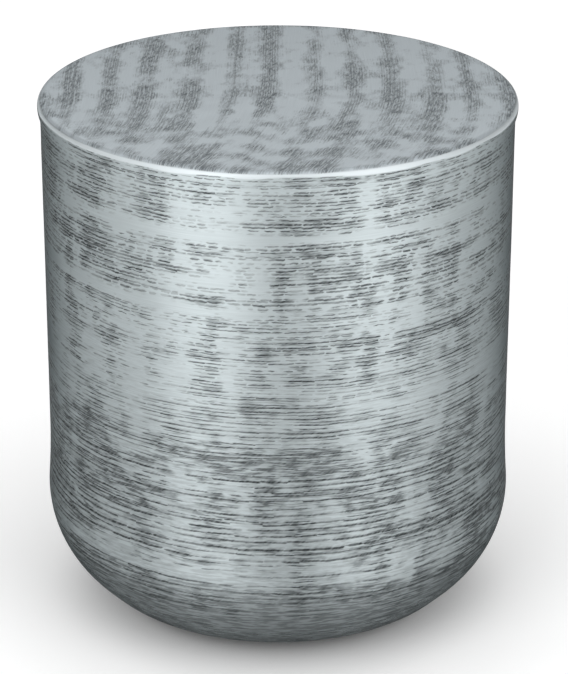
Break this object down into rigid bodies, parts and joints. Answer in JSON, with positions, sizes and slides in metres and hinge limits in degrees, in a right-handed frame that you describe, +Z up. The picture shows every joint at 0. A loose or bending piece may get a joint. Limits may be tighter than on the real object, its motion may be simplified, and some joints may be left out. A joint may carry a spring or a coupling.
{
  "type": "drum side table",
  "caption": "Hollow drum side table of scored, antiqued aluminium sheet with a flat rolled-edge top, a rounded base and levelling glides.",
  "frame": {"origin": "on the floor at the middle of the drum", "axes": "+Z up along the drum's axis, -Y towards the viewer of the picture, the wall's seam at +Y"},
  "size_m": [0.406, 0.406, 0.457],
  "materials": {
    "etched_aluminium": "scored, etched and antiqued, polished on the rim",
    "mill_aluminium": "mill finish",
    "mill_steel": "hot rolled",
    "fibreboard": "sawn fibreboard",
    "zinc_steel": "zinc plated",
    "black_felt": "needled felt",
    "black_nylon": "moulded"
  },
  "bodies": {
    "drum": {"top_plate": "etched_aluminium", "side_wall": "etched_aluminium", "base_bowl": "etched_aluminium", "joint_band": "mill_aluminium", "seam_strip": "mill_aluminium", "angle_ring": "mill_steel", "top_board": "fibreboard", "top_board_screws": "zinc_steel", "base_board": "fibreboard", "base_screws": "zinc_steel", "base_felt": "black_felt", "tee_nuts": "zinc_steel"},
    "pad_1": {"glide_pad_1": "black_nylon"},
    "stem_1": {"glide_stem_1": "zinc_steel"},
    "pad_2": {"glide_pad_2": "black_nylon"},
    "stem_2": {"glide_stem_2": "zinc_steel"},
    "pad_3": {"glide_pad_3": "black_nylon"},
    "stem_3": {"glide_stem_3": "zinc_steel"},
    "pad_4": {"glide_pad_4": "black_nylon"},
    "stem_4": {"glide_stem_4": "zinc_steel"}
  },
  "joints": [
    {"name": "glide_1_height", "type": "slide", "parent": "drum", "child": "pad_1", "axis": [0, 0, -1], "range_m": [0, 0.01]},
    {"name": "glide_1_turn", "type": "hinge", "parent": "pad_1", "child": "stem_1", "pos_m": [0.08227, 0.08227, 0.02], "axis": [0, 0, -1], "range_deg": [0, 2880]},
    {"name": "glide_2_height", "type": "slide", "parent": "drum", "child": "pad_2", "axis": [0, 0, -1], "range_m": [0, 0.01]},
    {"name": "glide_2_turn", "type": "hinge", "parent": "pad_2", "child": "stem_2", "pos_m": [-0.08227, 0.08227, 0.02], "axis": [0, 0, -1], "range_deg": [0, 2880]},
    {"name": "glide_3_height", "type": "slide", "parent": "drum", "child": "pad_3", "axis": [0, 0, -1], "range_m": [0, 0.01]},
    {"name": "glide_3_turn", "type": "hinge", "parent": "pad_3", "child": "stem_3", "pos_m": [-0.08227, -0.08227, 0.02], "axis": [0, 0, -1], "range_deg": [0, 2880]},
    {"name": "glide_4_height", "type": "slide", "parent": "drum", "child": "pad_4", "axis": [0, 0, -1], "range_m": [0, 0.01]},
    {"name": "glide_4_turn", "type": "hinge", "parent": "pad_4", "child": "stem_4", "pos_m": [0.08227, -0.08227, 0.02], "axis": [0, 0, -1], "range_deg": [0, 2880]}
  ],
  "couplings": [
    {"joint": "glide_1_height", "follows": "glide_1_turn", "m_per_rad": 0.00019894},
    {"joint": "glide_2_height", "follows": "glide_2_turn", "m_per_rad": 0.00019894},
    {"joint": "glide_3_height", "follows": "glide_3_turn", "m_per_rad": 0.00019894},
    {"joint": "glide_4_height", "follows": "glide_4_turn", "m_per_rad": 0.00019894}
  ]
}
